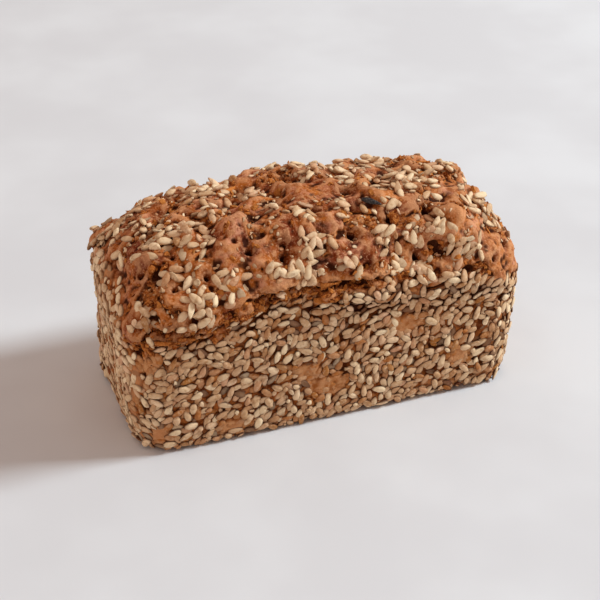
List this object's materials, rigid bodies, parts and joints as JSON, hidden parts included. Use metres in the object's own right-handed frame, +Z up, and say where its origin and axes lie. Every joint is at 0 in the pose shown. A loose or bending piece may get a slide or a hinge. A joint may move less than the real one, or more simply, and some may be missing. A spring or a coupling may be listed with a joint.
{
  "type": "rye bread loaf",
  "caption": "Whole tin-baked rye loaf with a flat base, straight sides packed with pressed kernels and a lumpy, pricked, seeded top crust.",
  "frame": {"origin": "centre of the loaf's box, on the flat base it stands on", "axes": "+X along the loaf's length, +Y to its back (the front long side faces -Y), +Z up"},
  "size_m": [0.2192, 0.113, 0.118],
  "materials": {
    "crust": "baked red-brown bread crust, dull, with a faint floury bloom",
    "seeds": "toasted shelled sunflower kernels, grey-beige, dry and dull"
  },
  "bodies": {
    "root": {"loaf": "crust"}
  },
  "joints": []
}
